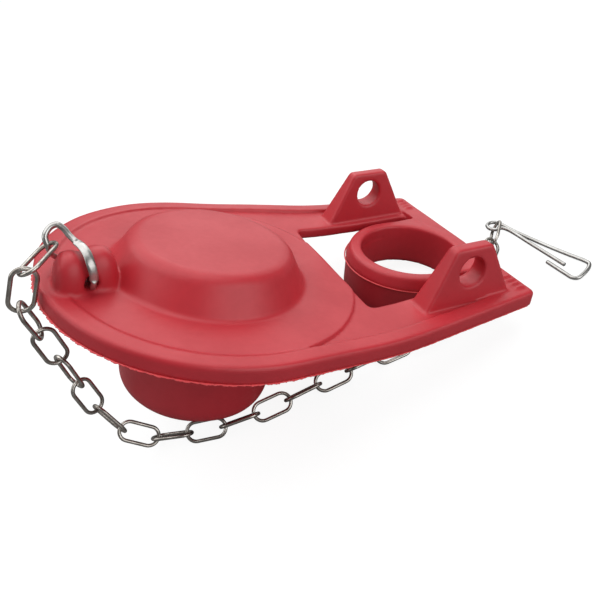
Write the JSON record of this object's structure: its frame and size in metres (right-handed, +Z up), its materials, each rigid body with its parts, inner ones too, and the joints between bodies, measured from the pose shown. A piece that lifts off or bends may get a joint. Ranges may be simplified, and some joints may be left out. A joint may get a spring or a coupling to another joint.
{
  "type": "toilet flapper",
  "caption": "Rubber toilet flapper with a domed plate over a hollow ball, a pipe collar and pivot ears, and a steel lift chain with a wire snap clip.",
  "frame": {"origin": "on the surface that the part lies on, under the middle of its bounding box", "axes": "+X from the round nose towards the collar and the clip, +Y to the far side of the moulding, +Z up from the surface"},
  "size_m": [0.1514, 0.0844, 0.0668],
  "materials": {
    "rubber": "satin red, with softly shining edges",
    "bright_steel": "bright drawn wire",
    "chain_steel": "darker, slightly dull wire"
  },
  "bodies": {
    "root": {"flapper_body": "rubber", "lug_ring": "bright_steel", "chain_link_01": "chain_steel", "chain_link_02": "chain_steel", "chain_link_03": "chain_steel", "chain_link_04": "chain_steel", "chain_link_05": "chain_steel", "chain_link_06": "chain_steel", "chain_link_07": "chain_steel", "chain_link_08": "chain_steel", "chain_link_09": "chain_steel", "chain_link_10": "chain_steel", "chain_link_11": "chain_steel", "chain_link_12": "chain_steel", "chain_link_13": "chain_steel", "chain_link_14": "chain_steel", "chain_link_15": "chain_steel", "chain_link_16": "chain_steel", "chain_link_17": "chain_steel", "chain_link_18": "chain_steel", "chain_link_19": "chain_steel", "chain_link_20": "chain_steel", "chain_link_21": "chain_steel", "chain_link_22": "chain_steel", "chain_link_23": "chain_steel", "snap_clip": "bright_steel"}
  },
  "joints": []
}
